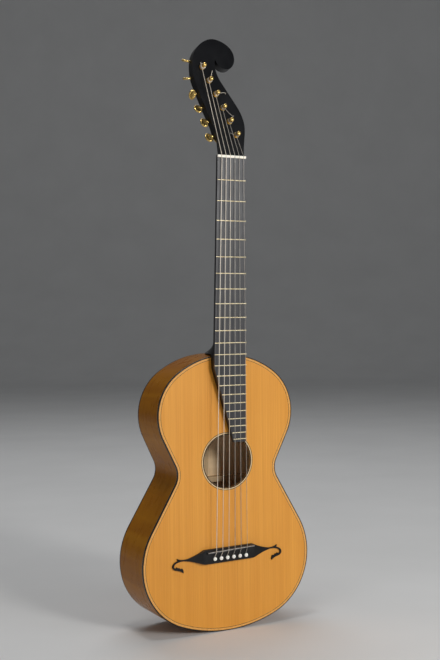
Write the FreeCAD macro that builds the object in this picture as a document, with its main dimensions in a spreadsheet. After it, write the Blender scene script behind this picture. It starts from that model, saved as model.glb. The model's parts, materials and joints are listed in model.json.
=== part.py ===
"""Six-string romantic guitar with a floating, adjustable neck and a scroll head.

Frame: +Z runs up the neck, the soundboard faces -Y and the bass side is -X.
The origin lies on the soundboard's outer face, on the centreline at the tail.
All sizes are in millimetres.
"""
import FreeCAD
import Part
import math
import os

V = FreeCAD.Vector
doc = FreeCAD.newDocument("RomanticGuitar")

# ---------------------------------------------------------------- dimensions
sheet = doc.addObject("Spreadsheet::Sheet", "Sizes")

SIZES = {
    # outline of the body: radii of the arcs, from the tail to the top
    "body_length": 443.0,
    "tail_radius": 231.0,
    "tail_arc_end": -68.5,
    "corner_radius": 104.0,
    "corner_arc_end": 8.0,
    "bout_radius": 109.0,
    "waist_radius": 31.8,
    "waist_x": 120.7,
    "waist_z": 255.9,
    "shoulder_x": 39.6,
    "shoulder_z": 348.0,
    "crown_radius": 149.2,
    # box of the body
    "tail_depth": 103.0,
    "top_depth": 73.0,
    "arch_radius": 2500.0,
    "rib_thick": 1.6,
    "top_thick": 2.4,
    "back_thick": 2.4,
    "binding_depth": 3.2,
    "lining_wide": 6.0,
    "lining_deep": 12.0,
    # inlays
    "inlay_deep": 1.0,
    "maple_wide": 3.2,
    "line_wide": 0.6,
    "hole_radius": 42.5,
    "hole_z": 271.8,
    "ring_edge": 1.5,
    "ring_maple": 1.7,
    "ring_outer": 0.9,
    # inner work
    "brace_wide": 6.0,
    "brace_deep": 11.0,
    "back_brace_wide": 9.0,
    "strip_wide": 16.0,
    "strip_thick": 1.8,
    "block_wide": 64.0,
    "neck_block_low": 408.0,
    "tail_block_high": 20.0,
    "plate_thick": 2.4,
    # strings
    "scale_length": 620.0,
    "nut_z": 753.2,
    "nut_fret_plane": 26.0,
    "neck_lean": 1.92,
    "nut_spacing": 7.82,
    "nut_first_x": -18.5,
    "saddle_spacing": 11.2,
    "saddle_high": 12.0,
    "saddle_slant": 1.6,
    # bridge
    "bridge_high": 7.0,
    "arm_high": 2.6,
    "bridge_shift": -1.2,
    "bridge_turn": 0.9,
    "pin_z": 119.3,
    "pin_spacing": 11.36,
    "pin_radius": 2.6,
    "pin_bore": 2.68,
    "pin_head": 3.2,
    "slot_wide": 1.5,
    "slot_reach": 3.95,
    "saddle_long": 84.0,
    "saddle_wide": 2.0,
    # neck
    "board_thick": 4.0,
    "nut_width": 50.4,
    "joint_width": 57.8,
    "fret_wide": 1.8,
    "fret_high": 0.9,
    "neck_thick": 15.6,
    "neck_thick_low": 18.0,
    "heel_gap": 0.9,
    "heel_start": 461.0,
    "heel_slope": 3.0,
    "support_gap": 2.0,
    "rod_radius": 1.5,
    "rod_y": 5.5,
    "screw_y": 18.0,
    "screw_radius": 2.5,
    "head_bore": 4.2,
    "key_bore": 4.6,
    # head
    "head_pitch": 12.0,
    "head_y": -20.0,
    "head_z": 757.2,
    "head_thick": 13.0,
    "head_web": 6.0,
    "cover_thick": 1.4,
    # tuners
    "post_radius": 3.2,
    "post_high": 12.5,
    "gear_teeth": 14.0,
    "gear_depth": 9.2,
    "gear_reach": 9.0,
    "gear_radius": 6.65,
    "worm_radius": 2.25,
    "shaft_radius": 1.6,
    "wind_height": 6.0,
}

for row, (alias, number) in enumerate(SIZES.items(), start=1):
    sheet.set("A%d" % row, alias)
    sheet.set("B%d" % row, str(number))
    sheet.setAlias("B%d" % row, alias)
doc.recompute()


def size(alias):
    """Read one driving dimension back from the sheet."""
    return float(sheet.get(alias))


# ------------------------------------------------------------------- helpers
finished = {}


def finish(name, item):
    """Give a sub-part its name and remember it for export."""
    item.Label = name
    finished[name] = item
    return item


def aliases(formula):
    """Write every alias in a formula as a reference to the sheet."""
    words = sorted(SIZES, key=len, reverse=True)
    out = ""
    while formula:
        found = next((w for w in words if formula.startswith(w)), None)
        if found:
            out += "Sizes." + found
            formula = formula[len(found):]
        else:
            out += formula[0]
            formula = formula[1:]
    return out


def origin_plane(body, role):
    return next(f for f in body.Origin.OriginFeatures if f.Role == role)


def sketch_on(body, name, role, loops):
    """A sketch on one of the body's own planes, made of closed loops."""
    sketch = body.newObject("Sketcher::SketchObject", name)
    sketch.AttachmentSupport = [(origin_plane(body, role), "")]
    sketch.MapMode = "FlatFace"
    for loop in loops:
        sketch.addGeometry(loop, False)
    return sketch


def plate(name, loops, front, thick):
    """A flat plate in the XZ plane, from depth `front` backwards by `thick`."""
    body = doc.addObject("PartDesign::Body", name + "_body")
    sketch = sketch_on(body, name + "_sketch", "XZ_Plane", loops)
    pad = body.newObject("PartDesign::Pad", name + "_pad")
    pad.Profile = sketch
    pad.Reversed = True
    pad.setExpression("Length", aliases(thick))
    body.setExpression("Placement.Base.y", aliases(front))
    return body


def pocket(body, name, loops, deep):
    """Cut a pocket backwards from the plate's front face."""
    doc.recompute()
    before = body.Shape.Volume
    sketch = sketch_on(body, name + "_sketch", "XZ_Plane", loops)
    cut = body.newObject("PartDesign::Pocket", name + "_pocket")
    cut.Profile = sketch
    cut.setExpression("Length", aliases(deep))
    doc.recompute()
    if body.Shape.Volume >= before:
        cut.Reversed = True
        doc.recompute()
    if body.Shape.Volume >= before:
        raise RuntimeError(name + " removes nothing")


def box(name, low, high):
    """A box given by two corners; each number may be an expression."""
    item = doc.addObject("Part::Box", name)
    for axis, dim, a, b in zip("xyz", ("Length", "Width", "Height"), low, high):
        item.setExpression("Placement.Base." + axis, aliases(str(a)))
        item.setExpression(dim, aliases("(%s)-(%s)" % (b, a)))
    return item


def boolean(kind, name, base, *tools):
    """Common or Cut of a base with one or more tools."""
    if kind == "Common":
        item = doc.addObject("Part::MultiCommon", name)
        item.Shapes = [base] + list(tools)
        return item
    item = doc.addObject("Part::Cut", name)
    item.Base = base
    item.Tool = tools[0] if len(tools) == 1 else union(name + "_tools", tools)
    return item


def union(name, items):
    item = doc.addObject("Part::MultiFuse", name)
    item.Shapes = list(items)
    return item


def solid(name, shape, place=None):
    """A shape made in code, with its placement set afterwards."""
    item = doc.addObject("Part::Feature", name)
    item.Shape = shape
    if place is not None:
        item.Placement = place
    return item


def cylinder(radius, length, start, direction):
    return Part.makeCylinder(radius, length, start, direction)


def prism(points, start, deep):
    """Extrude a closed polygon of (x, z) points along +Y from depth `start`."""
    corners = [V(x, start, z) for x, z in points]
    face = Part.Face(Part.makePolygon(corners + corners[:1]))
    return face.extrude(V(0, deep, 0))


# --------------------------------------------------------------- body outline
def circle_point(centre, radius, angle):
    return V(centre.x + radius * math.cos(angle), centre.y + radius * math.sin(angle), 0)


def outline(inset):
    """Closed outline of the body as tangent arcs and lines, moved inwards by `inset`.

    Sketch x is the width and sketch y the height along the centreline.
    """
    tail = size("tail_radius")
    corner = size("corner_radius")
    bout = size("bout_radius")
    waist = size("waist_radius")
    crown = size("crown_radius")
    turn_1 = math.radians(size("tail_arc_end"))
    turn_2 = math.radians(size("corner_arc_end"))
    tail_c = V(0, tail, 0)
    corner_c = circle_point(tail_c, tail - corner, turn_1)
    bout_c = circle_point(corner_c, corner - bout, turn_2)
    waist_c = V(size("waist_x"), size("waist_z"), 0)
    shoulder_c = V(size("shoulder_x"), size("shoulder_z"), 0)
    crown_c = V(0, size("body_length") - crown, 0)
    shoulder = crown - (shoulder_c - crown_c).Length

    def inner_tangent(centre, radius, side):
        span = waist_c - centre
        return math.atan2(span.y, span.x) + side * math.acos((radius + waist) / span.Length)

    turn_3 = inner_tangent(bout_c, bout, -1)
    turn_4 = inner_tangent(shoulder_c, shoulder, 1)
    rise = shoulder_c - crown_c
    turn_5 = math.atan2(rise.y, rise.x)
    half = math.pi

    def arc(centre, radius, start, end):
        return Part.ArcOfCircle(Part.Circle(centre, V(0, 0, 1), radius), start, end)

    def both_sides(centre, radius, start, end):
        mirror_c = V(-centre.x, centre.y, 0)
        return arc(centre, radius, start, end), arc(mirror_c, radius, half - end, half - start)

    def line(angle, centre, radius):
        near = circle_point(centre, radius - inset, angle)
        far = circle_point(waist_c, waist + inset, angle + half)
        mirrored = [V(-p.x, p.y, 0) for p in (near, far)]
        return Part.LineSegment(near, far), Part.LineSegment(*mirrored)

    pairs = [
        both_sides(corner_c, corner - inset, turn_1, turn_2),
        both_sides(bout_c, bout - inset, turn_2, turn_3),
        line(turn_3, bout_c, bout),
        both_sides(waist_c, waist + inset, turn_4 + half, turn_3 + half),
        line(turn_4, shoulder_c, shoulder),
        both_sides(shoulder_c, shoulder - inset, turn_4, turn_5),
    ]
    right = [pair[0] for pair in pairs]
    left = [pair[1] for pair in reversed(pairs)]
    low = arc(tail_c, tail - inset, half - turn_1, 2 * half + turn_1)
    high = arc(crown_c, crown - inset, turn_5, half - turn_5)
    return [low] + right + [high] + left


def ring(radius):
    """A circle round the centre of the soundhole."""
    return [Part.Circle(V(0, size("hole_z"), 0), V(0, 0, 1), radius)]


ARCH_HALF = 220.0
ARCH_RUN_OUT = 80.0


def back_arch(name, below):
    """Everything in front of a surface `below` the back's outer face.

    The back is arched across and tapers from the tail to the top.
    """
    slope = (size("tail_depth") - size("top_depth")) / size("body_length")
    lean = math.atan(slope)
    radius = size("arch_radius") - below
    drop = radius - math.sqrt(radius ** 2 - ARCH_HALF ** 2)
    front = -(size("tail_depth") + ARCH_RUN_OUT)
    bow = Part.Arc(V(-ARCH_HALF, -below - drop, 0), V(0, -below, 0), V(ARCH_HALF, -below - drop, 0)).toShape()
    corners = [V(ARCH_HALF, -below - drop, 0), V(ARCH_HALF, front, 0)]
    corners += [V(-ARCH_HALF, front, 0), V(-ARCH_HALF, -below - drop, 0)]
    sides = [Part.LineSegment(p, q).toShape() for p, q in zip(corners, corners[1:])]
    length = size("body_length") + 2 * ARCH_RUN_OUT
    block = Part.Face(Part.Wire([bow] + sides)).extrude(V(0, 0, length))
    start = V(0, size("tail_depth") + slope * ARCH_RUN_OUT, -ARCH_RUN_OUT)
    place = FreeCAD.Placement(start, FreeCAD.Rotation(V(1, 0, 0), math.degrees(lean)))
    return solid(name, block, place)


rib = size("rib_thick")
inlay_in = rib + size("maple_wide")
line_in = inlay_in + size("line_wide")
lining_in = rib + size("lining_wide")

arch_outer = back_arch("arch_outer", 0.0)
arch_inner = back_arch("arch_inner", size("back_thick"))
arch_rebate = back_arch("arch_rebate", size("binding_depth"))
arch_lining = back_arch("arch_lining", size("back_thick") + size("lining_deep"))
arch_brace = back_arch("arch_brace", size("back_thick") + size("brace_deep"))
arch_strip = back_arch("arch_strip", size("back_thick") + size("strip_thick"))

# ------------------------------------------------------------ string geometry
STRINGS = 6
# half the thickness of each string, from the bass side
STRING_RADII = (0.56, 0.46, 0.38, 0.46, 0.38, 0.34)


def pin_x(i):
    return size("pin_spacing") * (i - (STRINGS - 1) / 2)


def saddle_x(i):
    return size("saddle_spacing") * (i - (STRINGS - 1) / 2)


def nut_x(i):
    return size("nut_first_x") + size("nut_spacing") * i


saddle_z = size("nut_z") - size("scale_length")


def saddle_height_z(x):
    """The saddle is slanted: the bass string is a little longer."""
    return saddle_z - size("saddle_slant") * (1 - 2 * x / size("saddle_long"))


# --------------------------------------------------------------- pin bores
def pin_bores():
    """Round bores for the pins, each with a slot towards the saddle for its string."""
    shapes = []
    start = -size("bridge_high") - 3
    deep = 30
    for i in range(STRINGS):
        at = V(pin_x(i), start, size("pin_z"))
        shapes.append(cylinder(size("pin_bore"), deep, at, V(0, 1, 0)))
        half = size("slot_wide") / 2
        low = V(pin_x(i) - half, start, size("pin_z"))
        shapes.append(Part.makeBox(2 * half, deep, size("slot_reach"), low))
        end = V(pin_x(i), start, size("pin_z") + size("slot_reach"))
        shapes.append(cylinder(half, deep, end, V(0, 1, 0)))
    fused = shapes[0].fuse(shapes[1:]).removeSplitter()
    return solid("pin_bores", fused)


bores = pin_bores()

# --------------------------------------------------------------- body pieces
def make_soundboard():
    body = plate("soundboard", [outline(rib), ring(size("hole_radius"))], "0", "top_thick")
    pocket(body, "edge_rebate", [outline(-1), outline(line_in)], "inlay_deep")
    outer = size("hole_radius") + size("ring_edge") + size("ring_maple") + size("ring_outer")
    pocket(body, "rosette_rebate", [ring(outer)], "inlay_deep")
    finish("soundboard", boolean("Cut", "soundboard_bored", body, bores))


def make_inlays():
    finish("front_binding", plate("front_binding", [outline(0), outline(rib)], "0", "binding_depth"))
    finish("front_purfling", plate("front_purfling", [outline(rib), outline(inlay_in)], "0", "inlay_deep"))
    finish("purfling_line", plate("purfling_line", [outline(inlay_in), outline(line_in)], "0", "inlay_deep"))
    first = size("hole_radius")
    second = first + size("ring_edge")
    third = second + size("ring_maple")
    fourth = third + size("ring_outer")
    finish("rosette_edge_ring", plate("rosette_edge", [ring(first), ring(second)], "0", "inlay_deep"))
    finish("rosette_maple_ring", plate("rosette_maple", [ring(second), ring(third)], "0", "inlay_deep"))
    finish("rosette_outer_ring", plate("rosette_outer", [ring(third), ring(fourth)], "0", "inlay_deep"))


def make_ribs(fulcrum_groove, screw_path):
    """Two bent sides that meet on the centreline."""
    hoop = plate("rib_hoop", [outline(0), outline(rib)], "binding_depth", "tail_depth")
    hoop = boolean("Common", "rib_hoop_arched", hoop, arch_rebate)
    hoop = boolean("Cut", "rib_hoop_bored", hoop, fulcrum_groove, screw_path)
    bass_side = box("bass_side", ("-200", "-10", "-10"), ("0", "200", "body_length+10"))
    treble_side = box("treble_side", ("0", "-10", "-10"), ("200", "200", "body_length+10"))
    finish("rib_bass", boolean("Common", "rib_bass_half", hoop, bass_side))
    finish("rib_treble", boolean("Common", "rib_treble_half", hoop, treble_side))


def make_back():
    prism_body = plate("back_blank", [outline(rib)], "top_depth/2", "tail_depth")
    inside = boolean("Common", "back_under_arch", prism_body, arch_outer)
    finish("back", boolean("Cut", "back_plate", inside, arch_inner))
    hoop = plate("back_binding_blank", [outline(0), outline(rib)], "top_depth/2", "tail_depth")
    hoop = boolean("Common", "back_binding_arched", hoop, arch_outer)
    finish("back_binding", boolean("Cut", "back_binding_strip", hoop, arch_rebate))


def make_blocks(fulcrum_groove, screw_path, nut_seat):
    """End blocks that tie the ribs, the soundboard and the back together."""
    core = plate("block_blank", [outline(rib)], "top_thick", "tail_depth")
    core = boolean("Common", "block_core", core, arch_inner)
    half = "block_wide/2"
    neck_zone = box("neck_block_zone", ("-" + half, "0", "neck_block_low"), (half, "150", "body_length+10"))
    tail_zone = box("tail_block_zone", ("-" + half, "0", "-10"), (half, "150", "tail_block_high"))
    neck_block = boolean("Common", "neck_block_blank", core, neck_zone)
    tools = (fulcrum_groove, screw_path, nut_seat)
    finish("neck_block", boolean("Cut", "neck_block_bored", neck_block, *tools))
    finish("tail_block", boolean("Common", "tail_block_cut", core, tail_zone))
    return neck_zone, tail_zone


def make_linings(neck_zone, tail_zone):
    """Strips that widen the glued edges inside the ribs."""
    front = plate("top_lining_hoop", [outline(rib), outline(lining_in)], "top_thick", "lining_deep")
    finish("top_lining", boolean("Cut", "top_lining_cut", front, neck_zone, tail_zone))
    rear = plate("back_lining_hoop", [outline(rib), outline(lining_in)], "top_depth/2", "tail_depth")
    rear = boolean("Common", "back_lining_arched", rear, arch_inner)
    finish("back_lining", boolean("Cut", "back_lining_cut", rear, arch_lining, neck_zone, tail_zone))


# height on the centreline of each ladder brace, from the tail
TOP_BRACES = (62.0, 168.0, 213.0, 331.0, 384.0)
BACK_BRACES = (92.0, 232.0, 352.0)


def make_braces():
    """Ladder braces of the soundboard and of the back, and the back's centre strip."""
    core = plate("brace_blank", [outline(lining_in)], "top_thick", "tail_depth")
    bars = []
    for k, height in enumerate(TOP_BRACES):
        low = ("-200", "0", "%g-brace_wide/2" % height)
        high = ("200", "top_thick+brace_deep", "%g+brace_wide/2" % height)
        bars.append(box("top_bar_%d" % k, low, high))
    finish("top_braces", boolean("Common", "top_braces_cut", core, union("top_bars", bars)))
    rear = []
    for k, height in enumerate(BACK_BRACES):
        low = ("-200", "0", "%g-back_brace_wide/2" % height)
        high = ("200", "200", "%g+back_brace_wide/2" % height)
        rear.append(box("back_bar_%d" % k, low, high))
    rear_bars = union("back_bars", rear)
    deep = boolean("Common", "back_braces_deep", core, arch_inner, rear_bars)
    finish("back_braces", boolean("Cut", "back_braces_cut", deep, arch_brace))
    low = ("-strip_wide/2", "0", "tail_block_high")
    high = ("strip_wide/2", "200", "neck_block_low")
    run = boolean("Common", "strip_run", core, arch_inner, box("strip_zone", low, high))
    finish("back_strip", boolean("Cut", "back_strip_cut", run, arch_strip, rear_bars))


def make_bridge_plate():
    low = ("-48", "top_thick", "pin_z-14")
    high = ("48", "top_thick+plate_thick", "pin_z+22")
    finish("bridge_plate", boolean("Cut", "bridge_plate_bored", box("bridge_plate_blank", low, high), bores))


# ------------------------------------------------------------------- bridge
# half outline of the bridge: the taper and the curl as smooth runs between corners
BLOCK_HALF = 44.0
BLOCK_TOP = 134.7
BLOCK_FOOT = 112.4
UPPER_TAPER = ((BLOCK_HALF, BLOCK_TOP), (54, 130.0), (66, 125.9), (76, 123.8), (84, 124.3), (91, 126.9))
CURL_OUTER = ((89.6, 123.0), (95, 121.2), (98.6, 117.6), (99.2, 114.2), (97, 110.6), (92.6, 108.6),
              (87.6, 107.2), (83.8, 105.6), (80.8, 103.0))
LEAF_ARCS = (
    ((80.8, 103.0), (80.7, 107.2), (82.6, 110.6)),
    ((82.6, 110.6), (85.3, 110.2), (87.4, 112.2)),
    ((87.4, 112.2), (89.9, 111.9), (91.6, 113.8)),
    ((91.6, 113.8), (94.8, 112.3), (96.6, 114.6)),
)
LOWER_TAPER = ((96.6, 114.6), (96.0, 117.2), (92.8, 119.8), (88.4, 121.2), (82, 121.9), (76, 121.4),
               (63, 118.4), (BLOCK_HALF, BLOCK_FOOT))
# distance from the centre at which the bridge has sunk to each height
SINK = ((54, 5.2), (62, 3.9), (70, 3.1))
SINK_START = 46.0
ARM_START = 80.0
BRIDGE_HALF = 104.0


def bridge_half(side):
    """One half of the bridge's outline: centre block, tapering arm, spike and curl."""
    def at(point):
        return V(side * point[0], 0, point[1])

    def line(a, b):
        return Part.LineSegment(at(a), at(b)).toShape()

    def smooth(points):
        curve = Part.BSplineCurve()
        curve.interpolate([at(p) for p in points])
        return curve.toShape()

    edges = [line((0, BLOCK_TOP), UPPER_TAPER[0]), smooth(UPPER_TAPER), line(UPPER_TAPER[-1], CURL_OUTER[0])]
    edges.append(smooth(CURL_OUTER))
    edges += [Part.Arc(*[at(p) for p in points]).toShape() for points in LEAF_ARCS]
    edges.append(smooth(LOWER_TAPER))
    edges.append(line(LOWER_TAPER[-1], (0, BLOCK_FOOT)))
    edges.append(line((0, BLOCK_FOOT), (0, BLOCK_TOP)))
    return Part.Face(Part.Wire(edges)).extrude(V(0, -size("bridge_high"), 0))


def bridge_heights(side):
    """One half of the bridge seen from below: the block sinks to thin arms."""
    low = BLOCK_FOOT - 20
    tall = size("bridge_high")
    thin = size("arm_high")

    def at(x, high):
        return V(side * x, -high, low)

    sinking = [at(SINK_START, tall)] + [at(*p) for p in SINK] + [at(ARM_START, thin)]
    curve = Part.BSplineCurve()
    curve.interpolate(sinking)
    corners = [at(ARM_START, thin), at(BRIDGE_HALF, thin), at(BRIDGE_HALF, 0)]
    corners += [at(0, 0), at(0, tall), sinking[0]]
    lines = [Part.LineSegment(p, q).toShape() for p, q in zip(corners, corners[1:])]
    return Part.Face(Part.Wire([curve.toShape()] + lines)).extrude(V(0, 0, BLOCK_TOP - low + 5))


def saddle_box(clear, low, high):
    """A slanted strip across the bridge, `clear` wider than the saddle."""
    wide = size("saddle_wide") + clear
    long = size("saddle_long") + clear
    strip = Part.makeBox(long, high - low, wide, V(-long / 2, -high, -wide / 2))
    slant = math.degrees(math.atan(2 * size("saddle_slant") / size("saddle_long")))
    place = FreeCAD.Placement(V(0, 0, saddle_height_z(0)), FreeCAD.Rotation(V(0, 1, 0), -slant))
    strip.Placement = place
    return strip


SADDLE_SEAT = 3.0


def make_bridge():
    flat = bridge_half(1).fuse(bridge_half(-1))
    heights = bridge_heights(1).fuse(bridge_heights(-1))
    blank = flat.common(heights).removeSplitter()
    middle = V(0, 0, (BLOCK_TOP + BLOCK_FOOT) / 2)
    turn = FreeCAD.Rotation(V(0, 1, 0), -size("bridge_turn"))
    blank.Placement = FreeCAD.Placement(V(size("bridge_shift"), 0, 0), turn, middle)
    slot = saddle_box(0, SADDLE_SEAT, size("bridge_high") + 1)
    blank = solid("bridge_blank", blank.cut(slot))
    finish("bridge", boolean("Cut", "bridge_bored", blank, bores))
    saddle = saddle_box(0, SADDLE_SEAT, size("saddle_high"))
    top_edges = [e for e in saddle.Edges if e.CenterOfMass.y < -size("saddle_high") + 0.01 and e.Length > 50]
    finish("saddle", solid("saddle_strip", saddle.makeFillet(0.7, top_edges)))


# radius of the small flat at the top of each turned dome
EYE = 0.6


def turned(corners, dome, crown):
    """A solid turned about the Y axis: straight profile, then a dome with a small flat top."""
    points = [V(x, y, 0) for x, y in corners]
    edges = [Part.LineSegment(a, b).toShape() for a, b in zip(points, points[1:])]
    top = V(crown[0], crown[1], 0)
    edges.append(Part.Arc(points[-1], V(dome[0], dome[1], 0), top).toShape())
    centre = V(0, crown[1], 0)
    edges.append(Part.LineSegment(top, centre).toShape())
    edges.append(Part.LineSegment(centre, points[0]).toShape())
    return Part.Face(Part.Wire(edges)).revolve(V(0, 0, 0), V(0, 1, 0), 360)


def make_bridge_pins():
    """Tapered pins with a domed head and a small dot in its centre."""
    top = size("bridge_high")
    head = size("pin_head")
    radius = size("pin_radius")
    corners = [(0, 17), (radius - 1.2, 17), (radius - 0.7, 16.2), (radius, -top - 0.1)]
    corners += [(head, -top - 0.5), (head, -top - 1.3)]
    pin = turned(corners, (head * 0.74, -top - 2.5), (EYE, -top - 3.1))
    for i in range(STRINGS):
        place = FreeCAD.Placement(V(pin_x(i), 0, size("pin_z")), FreeCAD.Rotation())
        finish("bridge_pin_%d" % (i + 1), solid("pin_%d" % (i + 1), pin.copy(), place))


# --------------------------------------------------------- fingerboard frame
surface_y = -size("nut_fret_plane") + size("fret_high")
board_place = FreeCAD.Placement(
    V(0, surface_y, size("nut_z")), FreeCAD.Rotation(V(1, 0, 0), size("neck_lean")))
JOINT_RUN = 310.0
FRETS = 22


NUT_LONG = 4.2
NUT_HIGH = 1.9
# depth to which the nut is let into the board
NUT_SEAT = 1.2


def board_edge(down):
    """Half the board's width at a distance below the nut."""
    grow = (size("joint_width") - size("nut_width")) / 2
    return size("nut_width") / 2 + grow * min(down, JOINT_RUN) / JOINT_RUN


def fret_down(number):
    return size("scale_length") * (1 - 2 ** (-number / 12))


BOARD_END = 451.0
DIAGONAL = ((-28.9, 331.0), (7.0, BOARD_END))


def bass_edge(down):
    """The bass edge, which runs diagonally beside the treble strings."""
    (x_0, d_0), (x_1, d_1) = DIAGONAL
    if down <= d_0:
        return -board_edge(down)
    return x_0 + (x_1 - x_0) * (down - d_0) / (d_1 - d_0)


def board_outline(inset, start):
    """Corners of the board below a distance `start` from the nut."""
    low = BOARD_END - inset
    return [
        (-board_edge(start) + inset, -start),
        (-board_edge(DIAGONAL[0][1]) + inset, -DIAGONAL[0][1]),
        (DIAGONAL[1][0] + inset, -low),
        (board_edge(JOINT_RUN) - inset, -low),
        (board_edge(JOINT_RUN) - inset, -max(JOINT_RUN, start)),
        (board_edge(start) - inset, -start),
    ]


def make_fingerboard():
    body = doc.addObject("PartDesign::Body", "fingerboard_body")
    corners = [V(x, z, 0) for x, z in board_outline(0, -NUT_LONG)]
    loop = [Part.LineSegment(a, b) for a, b in zip(corners, corners[1:] + corners[:1])]
    sketch = sketch_on(body, "fingerboard_sketch", "XZ_Plane", [loop])
    pad = body.newObject("PartDesign::Pad", "fingerboard_pad")
    pad.Profile = sketch
    pad.Reversed = True
    pad.setExpression("Length", aliases("board_thick"))
    body.Placement = board_place
    half = size("nut_width")
    seat = solid("nut_seat", Part.makeBox(2 * half, 5 + NUT_SEAT, NUT_LONG + 5, V(-half, -5, 0)), board_place)
    finish("fingerboard", boolean("Cut", "fingerboard_cut", body, seat))


def make_frets():
    """Half-round brass frets, each as long as the board is wide there."""
    half = size("fret_wide") / 2
    tall = size("fret_high")
    bars = []
    for number in range(1, FRETS + 1):
        down = fret_down(number)
        left = bass_edge(down + half) + 0.2
        right = board_edge(down) - 0.2
        crown = Part.Wire([
            Part.LineSegment(V(left, 0, -down + half), V(left, 0, -down - half)).toShape(),
            Part.Arc(V(left, 0, -down - half), V(left, -tall, -down), V(left, 0, -down + half)).toShape(),
        ])
        bars.append(Part.Face(crown).extrude(V(right - left, 0, 0)))
    finish("frets", solid("fret_bars", Part.makeCompound(bars), board_place))



def make_nut():
    """Bone nut with a shallow groove under each string."""
    half = size("nut_width") / 2
    deep = NUT_HIGH + NUT_SEAT
    block = Part.makeBox(2 * half, deep, NUT_LONG, V(-half, -NUT_HIGH, 0))
    edges = [e for e in block.Edges if e.CenterOfMass.y < -NUT_HIGH + 0.01 and e.Length > 20]
    block = block.makeFillet(0.8, edges)
    grooves = []
    for i, radius in enumerate(STRING_RADII):
        wide = radius + 0.06
        low = V(nut_x(i) - wide, -NUT_HIGH - 1, -1)
        grooves.append(Part.makeBox(2 * wide, 1 + NUT_HIGH - NUT_REST, NUT_LONG + 2, low))
    block = block.cut(grooves[0].fuse(grooves[1:]))
    finish("nut", solid("nut_block", block, board_place))


# height of the groove's floor above the board
NUT_REST = 1.55


# --------------------------------------------------------------------- neck
# how pointed the neck is at the back: 2 would be an ellipse, 1 a plain V
NECK_POINT = 1.5
SECTION_STEPS = 24
HEEL_BLEND = 3.0
# length of neck made past the nut, before the head's joint is cut
NECK_OVER = 8.0
# heights above the start of the heel at which the neck's section is drawn
HEEL_STATIONS = (50.0, 30.0, 20.0, 14.0, 10.0, 7.5, 5.5, 4.0, 2.5, 1.0, -0.5, -2.0, -4.0, -6.5, -10.0, -23.0)


def neck_depth(down):
    """Depth of the neck behind the board: a slim shaft that turns sharply into a conical heel."""
    start = size("nut_z") - size("heel_start")
    share = min(down / start, 1.0)
    shaft = size("neck_thick") + (size("neck_thick_low") - size("neck_thick")) * share
    past = down - start
    return shaft + size("heel_slope") * (past + math.sqrt(past ** 2 + HEEL_BLEND ** 2)) / 2


def neck_section(down):
    """Flat on the board's side and rounded to a soft V on the player's side."""
    half = board_edge(max(down, 0))
    deep = neck_depth(max(down, 0))
    top = size("board_thick")
    power = 2 / NECK_POINT
    points = []
    for k in range(SECTION_STEPS + 1):
        angle = math.pi * k / SECTION_STEPS
        across = math.copysign(abs(math.cos(angle)) ** power, math.cos(angle))
        points.append(V(half * across, top + deep * math.sin(angle) ** power, -down))
    points[0].y = top
    points[-1] = V(-half, top, -down)
    bow = Part.BSplineCurve()
    bow.interpolate(points)
    return Part.Wire([bow.toShape(), Part.LineSegment(points[-1], points[0]).toShape()])


def make_neck(fulcrum_rod_room, key_bore, shank_bore, below_body, above_head):
    start = size("nut_z") - size("heel_start")
    stations = [-NECK_OVER, 80.0, 160.0] + [start - rise for rise in HEEL_STATIONS]
    blank = solid("neck_blank", Part.makeLoft([neck_section(d) for d in stations], True, True), board_place)
    tools = (below_body, above_head, fulcrum_rod_room, key_bore, shank_bore)
    finish("neck", boolean("Cut", "neck_cut", blank, *tools))


def make_fingerboard_support(below_board):
    """Neck wood that carries the floating end of the board above the soundboard."""
    joint = size("nut_z") - size("body_length") - size("heel_gap")
    corners = [(x, size("nut_z") + z) for x, z in board_outline(0.5, joint)]
    start = -size("support_gap") - 30
    block = solid("support_blank", prism(corners, start, 30))
    finish("fingerboard_support", boolean("Common", "support_cut", block, below_board))


# --------------------------------------------------------------------- head
head_place = FreeCAD.Placement(
    V(0, size("head_y"), size("head_z")), FreeCAD.Rotation(V(1, 0, 0), -size("head_pitch")))

# head frame: x across, z up the face, y behind the face
LEFT_EDGE = (
    (-20.3, 0), (-20.4, 20), (-21.8, 40), (-26.6, 57), (-33.0, 74), (-39.4, 93), (-45.4, 112), (-49.2, 128),
    (-49.8, 142), (-47.8, 158), (-42.6, 172), (-33.8, 183.4), (-22.0, 192.2), (-8.0, 196.8), (5.0, 195.0),
    (16.5, 189.6), (25.0, 181.4), (28.8, 170.0), (26.4, 157.6), (18.6, 149), (8.6, 147), (-1, 151.5),
    (-6.6, 162),
)
RIGHT_EDGE = (
    (-6.6, 162), (-8.6, 154), (-8.0, 143), (-4.8, 131.5), (3.2, 117), (13.4, 100), (23.4, 84), (30.2, 69),
    (33.2, 53), (31.2, 35), (27.6, 17), (25.8, 0),
)


def head_outline():
    left = Part.BSplineCurve()
    left.interpolate([V(x, z, 0) for x, z in LEFT_EDGE])
    right = Part.BSplineCurve()
    right.interpolate([V(x, z, 0) for x, z in RIGHT_EDGE])
    first = LEFT_EDGE[0]
    last = RIGHT_EDGE[-1]
    foot = Part.LineSegment(V(last[0], last[1], 0), V(first[0], first[1], 0))
    return [left, right, foot]


# place of each string post on the face and the slope of its worm, farthest first
POST_LOW = (15.2, 35.4)
POST_STEP = (-9.53, 22.14)
WORM_SLOPES = (-8, 8, 14, 15, 15, 16.5)
BUTTON_LONG = 16.5
BUTTON_WIDE = 13.2
BUTTON_THICK = 3.4
BUTTON_GAP = 0.9


def post_at(i):
    """Foot of post i in the head frame; post 0 carries the bass string."""
    steps = STRINGS - 1 - i
    return V(POST_LOW[0] + POST_STEP[0] * steps, 0, POST_LOW[1] + POST_STEP[1] * steps)


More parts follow.
